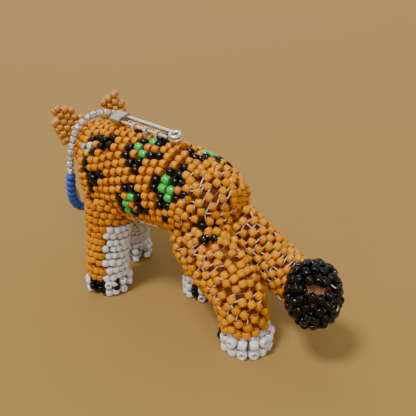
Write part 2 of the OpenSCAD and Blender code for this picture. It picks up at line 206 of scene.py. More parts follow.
AMBER_TINTS = ((0.78, 0.70, 0.62), (0.97, 0.95, 0.9), (1.0, 1.0, 1.0), (1.12, 1.16, 1.35))
PLAIN_TINTS = ((0.86, 0.86, 0.86), (1.0, 1.0, 1.0), (1.06, 1.06, 1.06))
# the end colours are darker: painted shade where beads meet and in the hole, partly the glass's deeper tone
GLASS = {  # colour in the middle and at the ends, roughness, light let through, glow, coat and gloss
    "amber": (AMBER_TINTS, (0.86, 0.34, 0.0), (0.66, 0.20, 0.0), 0.19, 0.08, 0.45, 0.0, 0.24),
    "honey": (AMBER_TINTS, (0.84, 0.39, 0.06), (0.66, 0.24, 0.05), 0.22, 0.12, 0.45, 0.1, 0.4),
    "black": (PLAIN_TINTS, (0.002, 0.002, 0.0022), (0.001, 0.001, 0.001), 0.1, 0.0, 0.0, 0.0, 0.3),
    "white": (PLAIN_TINTS, (0.90, 0.92, 0.96), (0.76, 0.72, 0.66), 0.2, 0.0, 0.4, 0.6, 0.5),
    "green": (PLAIN_TINTS, (0.012, 0.74, 0.085), (0.12, 0.60, 0.15), 0.14, 0.2, 0.45, 0.6, 0.5),
    "orange": (PLAIN_TINTS, (1.0, 0.20, 0.006), (0.75, 0.10, 0.004), 0.2, 0.0, 0.15, 0.2, 0.5),
    "yellow": (PLAIN_TINTS, (0.72, 0.58, 0.01), (0.5, 0.36, 0.01), 0.2, 0.0, 0.25, 0.6, 0.5),
    "blue": (PLAIN_TINTS, (0.07, 0.18, 0.82), (0.05, 0.12, 0.62), 0.26, 0.0, 0.3, 0.0, 0.2),
    "pale_blue": (PLAIN_TINTS, (0.50, 0.52, 0.62), (0.30, 0.32, 0.45), 0.2, 0.0, 0.25, 0.6, 0.5),
    "gold": (PLAIN_TINTS, (0.70, 0.42, 0.05), (0.45, 0.24, 0.03), 0.2, 0.0, 0.1, 0.6, 0.5),
}
BEADS = {colour: glass_bead(colour + "_glass", *look) for colour, look in GLASS.items()}
BEADS["clear"] = silver_lined_bead()


def felt_material():
    """Brown felt seen between the beads: matted fibres with darker hollows."""
    s = Shader("brown_felt", Sheen_Weight=0.03, Sheen_Roughness=0.5, Specular_IOR_Level=0.25)
    spot = s.place()
    mat = s.noise(spot, 900, 6, 0.7)
    cloud = s.noise(spot, 160, 3, 0.5)
    patches = s.ramp(cloud, ((0.3, (0.20, 0.040, 0.002)), (0.7, (0.34, 0.085, 0.003))))
    s.colour(s.mix(s.math("MULTIPLY", mat, 0.6), patches, (0.13, 0.024, 0.002)))
    s.roughness(s.math("ADD", s.math("MULTIPLY", mat, 0.3), 0.35))
    s.bump(mat, 0.5, 0.0002)
    return s.material


def thread_material(name, light, dark, see_through):
    """Beading thread: fine fibres, light and dark."""
    s = Shader(name, Transmission_Weight=see_through, IOR=1.4, Coat_Weight=0.2)
    spot = s.place()
    fibre = s.noise(spot, 2600, 4, 0.6)
    s.colour(s.ramp(fibre, ((0.3, dark), (0.65, light))))
    s.roughness(s.math("ADD", s.math("MULTIPLY", fibre, 0.3), 0.25))
    s.bump(fibre, 0.3, 0.00005)
    return s.material


def metal_material(name, bright, dull, rough):
    """Nickel-plated wire with drawn lines and a few dull patches."""
    s = Shader(name, Metallic=1.0, IOR=1.5)
    spot = s.place()
    drawn = s.noise(s.stretch(spot, (60, 900, 900)), 3.0, 4, 0.6)
    patch = s.noise(spot, 240, 3, 0.55)
    lines = s.ramp(drawn, ((0.3, tuple(0.85 * c for c in bright)), (0.7, bright)))
    s.colour(s.mix(s.math("MULTIPLY", patch, 0.35), lines, dull))
    s.roughness(s.math("ADD", s.math("MULTIPLY", patch, 0.25), rough))
    s.bump(drawn, 0.15, 0.00003)
    return s.material


FELT = felt_material()
WHITE_THREAD = thread_material("white_thread", (0.80, 0.74, 0.70), (0.50, 0.42, 0.38), 0.0)
BROWN_THREAD = thread_material("brown_thread", (0.50, 0.20, 0.07), (0.20, 0.06, 0.02), 0.25)
CLEAR_THREAD = thread_material("clear_thread", (0.72, 0.68, 0.64), (0.55, 0.50, 0.45), 0.5)
WIRE = metal_material("pin_wire_metal", (0.92, 0.90, 0.85), (0.55, 0.50, 0.43), 0.16)
CLASP = metal_material("pin_clasp_metal", (0.50, 0.45, 0.36), (0.30, 0.25, 0.18), 0.34)


# ---------------------------------------------------------------- meshes
def show(name, mesh, body, material, replaces=()):
    """A mesh as a piece that rides on a body and stands for CAD nodes."""
    made = bpy.data.objects.new(name, mesh)
    bpy.context.scene.collection.objects.link(made)
    mesh.materials.append(material)
    mesh.shade_smooth()
    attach(made, body)
    if replaces:
        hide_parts(*replaces)
    return made


# a bead's outline: distance from the hole's line and place along it, as parts of radius and half length
BEAD_PROFILE = np.array([
    (0.36, -0.86), (0.58, -1.0), (0.86, -0.94), (0.975, -0.62), (1.0, 0.0), (0.975, 0.62), (0.86, 0.94),
    (0.58, 1.0), (0.36, 0.86), (0.32, 0.0)])
BEAD_SIDES = 12


def bead_shape():
    """Vertices, faces and how near each vertex is to an end, for a bead of radius 1 and half length 1. That
    nearness, with more inside the hole, darkens the bead's colour: painted shade and the glass's deeper tone.
    """
    turn = np.arange(BEAD_SIDES) * 2 * math.pi / BEAD_SIDES
    count = len(BEAD_PROFILE)
    points = np.array([[(r * math.cos(a), r * math.sin(a), z) for r, z in BEAD_PROFILE] for a in turn])
    faces = []
    for i in range(BEAD_SIDES):
        here, after = i * count, (i + 1) % BEAD_SIDES * count
        for j in range(count):
            up = (j + 1) % count
            faces.append([here + j, after + j, after + up, here + up])
    # painted shade: more near the ends and most inside the hole, partly the glass's own deeper tone
    in_hole = BEAD_PROFILE[:, 0] < 0.5
    end = np.clip(np.abs(BEAD_PROFILE[:, 1]) ** 2 + in_hole * 0.6, 0, 1)
    return points.reshape(-1, 3), np.array(faces), np.tile(end, BEAD_SIDES)


SHAPE, FACES, END_SHADE = bead_shape()


def bead_mesh(name, beads):
    """One mesh of many beads, each (centre, axes, radius, half length); the axes are rows that point
    across the bead, outward and along its hole."""
    n, count = len(beads), len(SHAPE)
    centre = np.array([b[0] for b in beads])
    axes = np.array([b[1] for b in beads])
    size = np.array([[b[2], b[2], b[3]] for b in beads])
    local = SHAPE[None] * size[:, None, :] * MM
    points = np.einsum("bvk,bkc->bvc", local, axes) + centre[:, None, :]
    faces = (FACES[None] + (np.arange(n) * count)[:, None, None]).reshape(-1, 4)
    mesh = bpy.data.meshes.new(name)
    mesh.vertices.add(n * count)
    mesh.vertices.foreach_set("co", points.reshape(-1).astype(np.float32))
    mesh.loops.add(faces.size)
    mesh.loops.foreach_set("vertex_index", faces.reshape(-1).astype(np.int32))
    mesh.polygons.add(len(faces))
    mesh.polygons.foreach_set("loop_start", np.arange(0, faces.size, 4, dtype=np.int32))
    mesh.update(calc_edges=True)
    tint = np.repeat(rng.random(n), count)
    spot = SHAPE[None] + rng.random((n, 1, 3)) * 40
    for key, kind, field, values in (("tint", "FLOAT", "value", tint),
                                     ("end", "FLOAT", "value", np.tile(END_SHADE, n)),
                                     ("bead_pos", "FLOAT_VECTOR", "vector", spot)):
        made = mesh.attributes.new(key, kind, "POINT")
        made.data.foreach_set(field, values.reshape(-1).astype(np.float32))
    return mesh


def show_beads(name, beads, body, glass, replaces=()):
    """Beads of one glass as a piece, with that glass's material slot."""
    show(name, bead_mesh(name, beads), body, BEADS[glass], replaces)


def frame_on(normal, along, tilt=0.0, rock=0.0):
    """Rows: across, outward, along the hole; tilted in the surface and rocked out of it."""
    normal = unit(normal)
    along = unit(along - normal * (along @ normal))
    across = np.cross(normal, along)
    hole = math.cos(tilt) * along + math.sin(tilt) * across
    hole = math.cos(rock) * hole + math.sin(rock) * normal
    out = unit(normal - hole * (normal @ hole))
    return np.array([np.cross(out, hole), out, hole])


class Skin:
    """The outside of some CAD nodes, for finding where beads lie on it."""

    def __init__(self, *names):
        self.points, self.faces, self.owner = [], [], []
        for name in names:
            data = NODES[name].data
            start = len(self.points)
            self.points += [tuple(v.co) for v in data.vertices]
            self.faces += [[start + i for i in polygon.vertices] for polygon in data.polygons]
            self.owner += [name] * len(data.polygons)
        self.tree = BVHTree.FromPolygons(self.points, self.faces)

    def outside(self, inner, way, reach=0.04):
        """Where a ray from far out along way, back towards inner, meets the skin first."""
        hit = self.tree.ray_cast(Vector(inner + way * reach), Vector(-way), reach)
        if hit[0] is None:
            return None
        normal = np.array(hit[1])
        if normal @ way < 0:
            normal = -normal
        return np.array(hit[0]), normal, self.node_at(hit)

    def node_at(self, hit):
        """The CAD node that a ray met."""
        return self.owner[hit[2]]


class BridgedSkin(Skin):
    """The skin of some CAD nodes with its creases bridged; named_by is the skin that names each place."""

    def __init__(self, named_by, names, over=2.6):
        super().__init__(*names)
        self.named_by = named_by
        made = bpy.data.objects.new("bridge", bpy.data.meshes.new("bridge"))
        bpy.context.scene.collection.objects.link(made)
        made.data.from_pydata(self.points, [], self.faces)
        # swollen by over mm, evened out, and shrunk back by as much
        steps = (("REMESH", 0.8), ("DISPLACE", over), ("REMESH", 0.9), ("SMOOTH", 4), ("DISPLACE", -over))
        for kind, amount in steps:
            step = made.modifiers.new(kind, kind)
            if kind == "REMESH":
                step.mode, step.voxel_size = "VOXEL", amount * MM
            elif kind == "DISPLACE":
                step.strength, step.mid_level = amount * MM, 0.0
            else:
                step.iterations = amount
        mesh = made.evaluated_get(bpy.context.evaluated_depsgraph_get()).data
        corners, faces = [tuple(v.co) for v in mesh.vertices], [list(p.vertices) for p in mesh.polygons]
        self.tree = BVHTree.FromPolygons(corners, faces)
        bpy.data.objects.remove(made)

    def node_at(self, hit):
        near = self.named_by.tree.find_nearest(hit[0])
        return self.named_by.owner[near[2]]


RAYS = 96               # rays in a ring
PATH_STEPS = 30         # rings between two points of a tube's line
CAP_STEPS = 22          # rings in a round end
LEAN_LOW, LEAN_HIGH = 4, 88     # how far the rays of a round end lean, first and last ring, degrees
JUMP = 1.5 * MM         # neighbouring rays further apart than this have met different parts


class Tube:
    """Rings round a line of points through a part, with round ends where start_cap or end_cap is set."""

    def __init__(self, skin, line, up, start_cap=False, end_cap=False):
        self.skin = skin
        self.up = np.array(up, float)
        line = np.array([place(p) for p in line])
        leans = np.linspace(LEAN_LOW, LEAN_HIGH, CAP_STEPS)
        path = [(line[0], -lean) for lean in leans[::-1]] if start_cap else []
        for a, b in zip(line, line[1:]):
            path += [(a + (b - a) * k / PATH_STEPS, 0.0) for k in range(PATH_STEPS)]
        path.append((line[-1], 0.0))
        if end_cap:
            path += [(line[-1], lean) for lean in leans]
        self.path = path
        self.line = line
        probes = [self.ring_at(i, 8) for i in range(len(path))]
        self.run = [0.0]        # how far along each ring is: by the surface in round ends, else by the line
        for i in range(1, len(path)):
            met = [(p[0], q[0]) for p, q in zip(probes[i - 1], probes[i])
                   if p is not None and q is not None]
            (here, lean), (before, lean_before) = path[i], path[i - 1]
            step = np.linalg.norm(here - before)
            if met and (lean or lean_before):
                step = float(np.mean([np.linalg.norm(p - q) for p, q in met]))
            self.run.append(self.run[-1] + step)
        self.length = self.run[-1]

    def index_at(self, run):
        """Which point of the path lies at that distance."""
        return int(np.clip(np.searchsorted(self.run, run), 0, len(self.path) - 1))

    def middle_at(self, run):
        return self.path[self.index_at(run)][0]

    def direction(self, index):
        """The way along the line at that point of the path."""
        a = self.path[max(index - 6, 0)][0]
        b = self.path[min(index + 6, len(self.path) - 1)][0]
        if np.linalg.norm(b - a) < 1e-6:
            a, b = self.line[:2] if index < len(self.path) / 2 else self.line[-2:]
        return unit(b - a)

    def ring_at(self, index, rays=RAYS):
        """What rays all round that point of the path meet, each with the lengthwise way there."""
        inner, lean = self.path[index]
        along = self.direction(index)
        u = unit(np.cross(self.up, along))
        v = np.cross(along, u)
        lean = math.radians(lean)
        found = []
        for k in range(rays):
            a = 2 * math.pi * k / rays
            out = math.cos(a) * u + math.sin(a) * v
            hit = self.skin.outside(inner, math.cos(lean) * out + math.sin(lean) * along)
            lengthwise = along * math.cos(lean) - out * math.sin(lean)
            found.append(None if hit is None else (*hit, lengthwise))
        return found

    def ring(self, run):
        """Hits at equal turns round the ring at that distance, and its arc lengths."""
        index = self.index_at(run)
        hits = self.ring_at(index)
        known = [np.linalg.norm(h[0] - self.path[index][0]) for h in hits if h is not None]
        if not known:
            return None
        spare = float(np.mean(known)) * 2 * math.pi / RAYS
        arcs = [0.0]
        for k in range(RAYS):
            a, b = hits[k], hits[(k + 1) % RAYS]
            met = a is not None and b is not None
            arcs.append(arcs[-1] + (np.linalg.norm(a[0] - b[0]) if met else spare))
        return hits, np.array(arcs)

    def holds(self, point, slack=0.4 * MM):
        """True if the point lies inside this part, deeper than slack below its skin."""
        middles = np.array([p for p, lean in self.path])
        middle = middles[int(np.argmin(np.linalg.norm(middles - point, axis=1)))]
        way = point - middle
        far = np.linalg.norm(way)
        if far < 1e-6:
            return True
        hit = self.skin.outside(middle, way / far)
        return hit is not None and far < np.linalg.norm(hit[0] - middle) - slack

    def at(self, ring, part):
        """Place, outward way, node and lengthwise way at that part of the way round a ring."""
        hits, arcs = ring
        want = (part % 1.0) * arcs[-1]
        k = int(np.clip(np.searchsorted(arcs, want) - 1, 0, RAYS - 1))
        a, b = hits[k], hits[(k + 1) % RAYS]
        if a is None or b is None or np.linalg.norm(a[0] - b[0]) > JUMP:
            return None
        f = (want - arcs[k]) / max(arcs[k + 1] - arcs[k], 1e-9)
        near = a if f < 0.5 else b
        point, normal, along = (a[n] * (1 - f) + b[n] * f for n in (0, 1, 3))
        return point, unit(normal), near[2], along


PITCH_PACKED, PITCH_OPEN = 2.0, 1.25        # from ring to ring, mm
WIDTH_PACKED, WIDTH_OPEN = 2.03, 1.98       # from bead to bead round a ring, mm


class Net:
    """Beads netted over a tube: a list of dicts with place, axes, colour and ring number."""

    def __init__(self, tube, colour_of, tight, free=None, size=1.0, rough=0.0, skew=0.0):
        """tight(place) is 1 where the beads sit side by side and 0 where the net is open; free(place)
        is false where another part's beads already are; rough is how far beads lie out of line, mm; skew
        is how many places each tight ring is turned from the one before."""
        self.beads, self.size, self.rough = [], size, rough
        self.slots, self.turned = 0, 0.0
        run, number = 0.5 * MM, 0
        while run < tube.length - 0.3 * MM:
            ring = tube.ring(run)
            packed = tight(tube.middle_at(run) / MM - SHIFT)
            pitch = (PITCH_PACKED * packed + PITCH_OPEN * (1 - packed)) * size
            self.turned += skew * packed
            if ring is not None:
                self.fill(tube, ring, number, packed, colour_of, free)
            run += pitch * MM
            number += 1

    def count(self, around, full):
        """How many places for beads a ring has; it changes only where they would be too close or far."""
        width = (WIDTH_PACKED if full else WIDTH_OPEN) * self.size
        if not self.slots or not 0.93 < around / self.slots / width < 1.12 or (not full and self.slots % 2):
            self.slots = max(4, int(round(around / width)) if full else 2 * int(round(around / width / 2)))
        return self.slots

    def fill(self, tube, ring, number, packed, colour_of, free):
        """One ring of beads: in every place where the net is packed, and in every other where it is open."""
        full = packed > 0.3
        slots = self.count(ring[1][-1] / MM, full)
        half_step = 0.5 if full and number % 2 and packed < 0.95 else 0.0
        loose = 1.0 - packed
        for k in range(slots):
            spot = tube.at(ring, (k + half_step + self.turned) / slots)
            if spot is None:
                continue
            at, normal, owner, along = spot
            if free is not None and not free(at):
                continue
            colour = colour_of(owner, at, normal)
            if not full and (k + number) % 2 and colour != "black":
                continue
            jitter = 0.05 + 0.07 * loose + self.rough
            axes = frame_on(normal, along, rng.normal(0, 0.09 + 0.13 * loose + self.rough),
                            rng.normal(0, 0.07 + 0.08 * loose + self.rough))
            side = axes[0] * rng.normal(0, jitter) + axes[2] * rng.normal(0, jitter)
            r = BEAD_R * self.size * rng.normal(1.0, 0.03)
            sink = r - 0.08 - (0.15 * loose + self.rough) * rng.random()
            half = BEAD_HALF * self.size * rng.normal(1.0, 0.05)
            self.beads.append(dict(centre=at - normal * sink * MM + side * MM, axes=axes, r=r, half=half,
                                   colour=colour, ring=number, normal=normal, open=loose))

    def of(self, colour):
        """The beads of that colour, as bead_mesh takes them."""
        return [(b["centre"], b["axes"], b["r"], b["half"]) for b in self.beads if b["colour"] == colour]

    def fuller(self, colour, part):
        """Make the beads of that colour larger."""
        for b in self.beads:
            if b["colour"] == colour:
                b["r"], b["half"] = b["r"] * part, b["half"] * part


def tube_mesh(name, paths, radius, sides=6, plies=0):
    """Thin tubes along lists of points; plies make the tube look twisted."""
    points, faces = [], []
    for path in paths:
        path = np.array(path, float)
        n = len(path)
        start = len(points)
        up = np.array((0.31, 0.22, 0.93))
        for i in range(n):
            way = unit(path[min(i + 1, n - 1)] - path[max(i - 1, 0)])
            u = unit(np.cross(up, way))
            v = np.cross(way, u)
            up = v
            for k in range(sides):
                a = 2 * math.pi * k / sides
                r = radius * (1 + (0.22 * math.cos(plies * (a - i * 0.55)) if plies else 0))
                points.append(path[i] + r * (math.cos(a) * u + math.sin(a) * v))
        for i in range(n - 1):
            for k in range(sides):
                a, b = start + i * sides + k, start + i * sides + (k + 1) % sides
                faces.append((a, b, b + sides, a + sides))
        faces.append(tuple(start + k for k in reversed(range(sides))))
        faces.append(tuple(start + (n - 1) * sides + k for k in range(sides)))
    mesh = bpy.data.meshes.new(name)
    mesh.from_pydata([tuple(p) for p in points], [], faces)
    mesh.update()
    return mesh


def show_threads(name, paths, radius, body, thread, replaces=(), sides=6, plies=0):
    """Threads as a piece in the thread slot; radius in mm."""
    show(name, tube_mesh(name, paths, radius * MM, sides, plies), body, thread, replaces)


def felt_piece(name, node, body, swell=0.45, voxel=0.75):
    """The stuffed felt inside the net: the CAD core, evenly remeshed, a little fuller and lumpy."""
    work = NODES[node].data.copy()
    made = show(name, work, body, FELT, (node,))
    remesh = made.modifiers.new("remesh", "REMESH")
    remesh.mode, remesh.voxel_size = "VOXEL", voxel * MM
    relax = made.modifiers.new("relax", "SMOOTH")
    relax.iterations, relax.factor = 4, 0.5
    graph = bpy.context.evaluated_depsgraph_get()
    mesh = bpy.data.meshes.new_from_object(made.evaluated_get(graph))
    made.modifiers.clear()
    mesh.name = name
    co = np.empty(len(mesh.vertices) * 3, np.float32)
    no = np.empty(len(mesh.vertices) * 3, np.float32)
    mesh.vertices.foreach_get("co", co)
    mesh.vertices.foreach_get("normal", no)
    co, no = co.reshape(-1, 3), no.reshape(-1, 3)
    lump = np.array([noise(Vector(p * 260)) * 0.22 + noise(Vector(p * 900)) * 0.07 for p in co])
    co += no * ((swell + lump)[:, None] * MM)
    mesh.vertices.foreach_set("co", co.reshape(-1))
    mesh.materials.clear()
    mesh.materials.append(FELT)
    mesh.update()
    mesh.shade_smooth()
    made.data = mesh


def hole_end(bead, towards):
    """The end of a bead's hole that is nearer that point."""
    hole = bead["axes"][2]
    side = -1 if (towards - bead["centre"]) @ hole < 0 else 1
    return bead["centre"] + side * hole * bead["half"] * MM * 0.95


def link_threads(beads, chance_white, whites, browns, reach=3.4, on_black=False):
    """Thread from each bead's end to the nearest beads in the next two rings of an open net."""
    by_ring = {}
    for b in beads:
        by_ring.setdefault(b["ring"], []).append(b)
    for number, hop in [(number, hop) for number in by_ring for hop in (1, 2)]:
        here, after = by_ring[number], by_ring.get(number + hop, [])
        if not after or number < 0:
            continue
        places = np.array([b["centre"] for b in after])
        for b in here:
            if b["open"] < 0.4:
                continue
            gaps = np.linalg.norm(places - b["centre"], axis=1)
            for j in np.argsort(gaps)[:3 - hop]:
                other = after[j]
                if hop == 2 and rng.random() > 0.4:
                    continue
                if gaps[j] > reach * MM or b["colour"] == other["colour"] == "black" and not on_black:
                    continue
                start, finish = hole_end(b, other["centre"]), hole_end(other, b["centre"])
                lift = (b["normal"] + other["normal"]) * rng.uniform(0.1, 0.28) * MM
                bow = b["axes"][0] * rng.normal(0, 0.22) * MM
                path = [start - (finish - start) * 0.2, (start * 2 + finish) / 3 + lift + bow,
                        (start + finish * 2) / 3 + lift + bow, finish + (finish - start) * 0.2]
                in_cluster = noise(Vector(b["centre"] * 130)) > 0.05
                bright = chance_white if in_cluster else chance_white * 0.25
                (whites if hop == 2 or rng.random() < bright else browns).append(path)


# ---------------------------------------------------------------- stuffed felt
LEGS = ("front_left", "front_right", "rear_left", "rear_right")
SIDES = (1, -1, 1, -1)      # the side of the body that each leg is on
FELT_NODES = {"torso_core": "figure", "head_core": "figure", "tail_core": "tail",
              **{leg + "_leg_core": "figure" for leg in LEGS}}
for node, body in FELT_NODES.items():
    felt_piece(node.replace("_core", "_felt"), node, body)


def colour_by_node(owner, spot=None, normal=None):
    """White over a panel, else amber; the marks come later."""
    return "white" if owner.endswith("_panel") else "amber"


# ---------------------------------------------------------------- legs, tail and head nets
PAWS = [(17.5, 6.8), (25, -10), (-25.5, 7.4), (-5.5, -5.8)]
LEG_LOW = 4.66
WHITE_TOP = 19.5        # the white of the front legs ends at this height, mm
whites, browns = [], []


def leg_line(i):
    """The line through a leg, from the paw up, in design mm."""
    (x, y), side = PAWS[i], SIDES[i]
    if i < 2:
        return [(x, y, LEG_LOW), (x, y, 8), (0.6 * x + 7, 0.85 * y, 15), (17, 5 * side, 24),
                (17, 4.6 * side, 28)]
    return [(x, y, LEG_LOW), (0.95 * x - 0.4, y, 8), (0.65 * x - 5, 0.7 * y + 2 * side, 14),
            (-11.5, 5 * side, 22), (-11.2, 4.6 * side, 26)]


def leg_colour(i):
    """Only the inner side of a rear leg is white; a front leg is white down its rear and inner side."""
    inward = np.array((0, -SIDES[i], 0))

    def colour(owner, spot, normal):
        if not owner.endswith("_panel"):
            return colour_by_node(owner)
        low = spot[2] < WHITE_TOP * MM if i < 2 else normal @ inward > 0.9 and normal[0] > -0.2
        return "white" if low else "amber"
    return colour


leg_tubes = [Tube(Skin(leg + "_leg_net", leg + "_inner_panel"), leg_line(i), (1, 0, 0))
             for i, leg in enumerate(LEGS)]
leg_nets = [Net(tube, leg_colour(i), lambda spot: 0.85 if i < 2 else 0.0, rough=0.04)
            for i, tube in enumerate(leg_tubes)]

TIP_AXIS = unit(np.array((-0.42, 0.76, 0.5)))
TIP_BASE = np.array((-37.6, 1.8, 14.4))
TAIL_LINE = [(-14, -0.5, 26.4), (-19.5, -0.8, 23.2), (-27, -1.4, 17.4), (-33, -0.8, 14.6),
             (-36.2, 0.4, 14.2), tuple(TIP_BASE)]
tail_tube = Tube(Skin("tail_net"), TAIL_LINE, (0, 0, 1))
tail = Net(tail_tube, colour_by_node, lambda spot: 0.0)

HEAD_BASE, HEAD_TURNS = np.array((20, -0.2, 33.5)), (-12, 4, -30)


def in_head(point):
    """A point of the head's own frame as a design point."""
    rx, ry, rz = (math.radians(a) for a in HEAD_TURNS)
    turn = Matrix.Rotation(rz, 3, "Z") @ Matrix.Rotation(ry, 3, "Y") @ Matrix.Rotation(rx, 3, "X")
    return np.array(turn @ Vector(point)) + HEAD_BASE


HEAD_LINE = [in_head(p) for p in ((2, 0, 0.2), (6, 0, 0.5), (10, 0, 1), (15, 0, 1.5), (19, 0, 0.9),
                                  (23, 0, -1.2))]
head_tube = Tube(Skin("head_net", "muzzle_panel"), HEAD_LINE, (0, 0, 1), end_cap=True)
head = Net(head_tube, colour_by_node, lambda spot: 1.0)

# ---------------------------------------------------------------- torso net
TORSO_NODES = ("torso_net", "belly_panel", "rosette_rings", "rosette_greens", "rosette_oranges",
               "shoulder_beads")
TORSO_LINE = [(-11, 0, 28.8), (-4, 0, 30.4), (6, 0, 31.4), (14, 0, 31.8), (19, 0, 32)]
LIMBS = [*leg_tubes, tail_tube, head_tube]
LIMB_ROOM = 1.45 * MM       # least distance from a torso bead's place to a limb's bead
limb_beads = [b for net in (*leg_nets, tail, head) for b in net.beads]
near_limb = KDTree(len(limb_beads))
for i, b in enumerate(limb_beads):
    near_limb.insert(b["centre"], i)
near_limb.balance()


def torso_free(point):
    """Room for a torso bead: outside the limbs and clear of their beads."""
    return near_limb.find(point)[2] > LIMB_ROOM and not any(limb.holds(point) for limb in LIMBS)


def torso_tight(spot):
    """1 in front of the loin, falling to 0 over the hips."""
    return float(np.clip((spot[0] + 12.0) / 6.0, 0, 1))


torso_tube = Tube(Skin(*TORSO_NODES), TORSO_LINE, (0, 0, 1), True, True)
torso = Net(torso_tube, colour_by_node, torso_tight, torso_free, skew=-0.3)

FILL_STEP = 0.6         # distance between the places tried for a filling bead, mm


def fill_gaps(tube, net, skin, beads, far, colour_of, gap=1.86, within=lambda spot, owner: True):
    """Add beads on a skin round a tube where those there leave a gap of more than that many mm, no further
    than far from the tube's middle and only where within allows."""
    own, tube.skin = tube.skin, skin
    centres = np.array([b["centre"] for b in beads])
    for run in np.arange(0.3, tube.length / MM - 0.2, FILL_STEP):
        ring = tube.ring(run * MM)
        if ring is None:
            continue
        middle = tube.middle_at(run * MM)
        turns = max(8, int(ring[1][-1] / MM / FILL_STEP))
        for k in range(turns):
            spot = tube.at(ring, k / turns)
            if spot is None:
                continue
            at, normal, owner, along = spot
            way = at - middle
            reach = np.linalg.norm(way)
            if reach > far * MM or normal @ way < 0.2 * reach or not within(at / MM - SHIFT, owner):
                continue
            centre = at - normal * (BEAD_R - 0.1) * MM
            if np.linalg.norm(centres - centre, axis=1).min() < gap * MM:
                continue
            centres = np.vstack([centres, centre])
            axes = frame_on(normal, along, rng.normal(0, 0.2), rng.normal(0, 0.1))
            bead = dict(centre=centre, axes=axes, r=BEAD_R * rng.normal(1, 0.03), half=BEAD_HALF,
                        colour=colour_of(owner, at, normal), ring=-1, normal=normal, open=0.0)
            net.beads.append(bead)
            beads.append(bead)
    tube.skin = own


# Single beads of other colours: (place along the torso in mm, angle up from the left side in degrees)
SIDE_MARKS = {
    "orange": [(2.5, 57), (4, -24)],
    "green": [(4.5, 56), (4, 45), (3, 68), (5, -12), (6.5, -22), (6, -33), (-6, 27), (-4.5, 10), (-7, 14),
              (-6, 0)],
    "white": [(19, 44)],
    "pale_blue": [(21, 42)],
    "yellow": [(19.5, 32)],
    "black": [(20.5, 51), (19, 54), (16.5, 56), (15.5, 48), (15, 54), (13, 56), (17.5, 34), (19.5, 21),
              (19.5, 12), (18.5, 2), (16.5, 4), (14.5, 6), (18.5, -6), (16, -4), (18.5, -21), (7, 54),
              (6.5, 43), (5.5, 34), (3, 35), (4.5, 24), (5.5, 65), (2, 47), (0, 58), (1.5, 71), (3, 77),
              (4.5, 5), (6.5, -3), (3.5, -2), (8, -13), (8.5, -26), (2.5, -13), (1.5, -23), (2.5, -34),
              (8, -38), (4, -43), (-5.5, 39), (-3, 26), (-3, 14), (-3.5, 1), (-4.5, -11), (-7, -9), (-5, -24),
              (-7.5, 50), (-8.5, 36), (-9.5, 26), (-10, 15), (-8.5, 4), (-8, 28)],
}
TOP_MARKS = {"green": [(-9.5, 104), (-8, 97)],
             "black": [(9, 81), (1.5, 88), (-6.5, 90), (-7.5, 83), (-9, 76), (-10, 84), (-11, 109),
                       (-13.5, 118), (-12, 101)]}
THIGH_MARKS = ((-15, 8, 26), (-17.6, 8.1, 25), (-15.5, 9, 24.4), (-15.8, 9.5, 22.8))   # black, design mm


def mark_point(x, angle):
    """The torso's skin at that place and angle round its middle, in the row frame."""
    middle = place((x, 0, 31.6 - 0.0052 * max(6 - x, 0) ** 2))
    way = np.array((0, math.cos(math.radians(angle)), math.sin(math.radians(angle))))
    return torso_tube.skin.outside(middle, way)[0]


LEG_NETS, LEG_PANELS, LEG_CORES = (
    [leg + end for leg in LEGS] for end in ("_leg_net", "_inner_panel", "_leg_core"))
whole_skin = Skin(*TORSO_NODES, *LEG_NETS, *LEG_PANELS, "head_net", "muzzle_panel", "tail_net")
all_beads = torso.beads + limb_beads
closed = BridgedSkin(
    whole_skin, ("torso_net", "belly_panel", "torso_core", *LEG_NETS, *LEG_CORES, *LEG_PANELS))
fill_gaps(torso_tube, torso, whole_skin, all_beads, 16.5, colour_by_node,
          within=lambda spot, owner: owner != "tail_net")
fill_gaps(torso_tube, torso, closed, all_beads, 17.0,
          lambda owner, spot, normal: "white" if owner == "belly_panel" else "amber", 1.65,
          lambda spot, owner: spot[2] > 20.5 and owner != "tail_net")
for i, tube in enumerate(leg_tubes):
    fill_gaps(tube, leg_nets[i], closed, all_beads, 9.5, leg_colour(i), 1.6,
              lambda spot, owner: spot[2] > 17 and spot[1] * SIDES[i] > 3 and owner != "tail_net")
for i, tube in enumerate(leg_tubes):
    fill_gaps(tube, leg_nets[i], whole_skin, all_beads, 9.0, leg_colour(i), 1.6,
              lambda spot, owner: owner in (LEG_NETS[i], LEG_PANELS[i]))
fill_gaps(torso_tube, torso, torso_tube.skin, all_beads, 16.5, colour_by_node, 1.6,
          lambda spot, owner: spot[0] > -9 and spot[2] > 24)
fill_gaps(head_tube, head, head_tube.skin, all_beads, 14.0, colour_by_node, 1.6)
fill_gaps(tail_tube, tail, tail_tube.skin, all_beads, 9.0, colour_by_node)

TAIL_PIVOT, TAIL_SWING = (-15.5, -0.6, 25), 6.0       # mm and degrees each way
TAIL_ROOM = 1.85            # least distance between bead middles as the tail swings, mm
swept = KDTree(5 * len(tail.beads))
for angle in (-TAIL_SWING, -TAIL_SWING / 2, 0, TAIL_SWING / 2, TAIL_SWING):
    swing = np.array(Matrix.Rotation(math.radians(angle), 3, "Z"))
    for b in tail.beads:
        swept.insert(place(TAIL_PIVOT) + swing @ (b["centre"] - place(TAIL_PIVOT)), 0)
swept.balance()
for net in (torso, *leg_nets):
    net.beads = [b for b in net.beads if swept.find(b["centre"])[2] > TAIL_ROOM * MM]
skin_beads = torso.beads + [b for net in leg_nets for b in net.beads]
bead_places = np.array([b["centre"] + b["normal"] * b["r"] * MM for b in skin_beads])
taken = set()


def recolour(point, colour):
    """Give the nearest bead that has no mark yet that colour."""
    order = np.argsort(np.linalg.norm(bead_places - point, axis=1))[:6]
    chosen = next(int(j) for j in order if int(j) not in taken)
    taken.add(chosen)
    skin_beads[chosen]["colour"] = colour


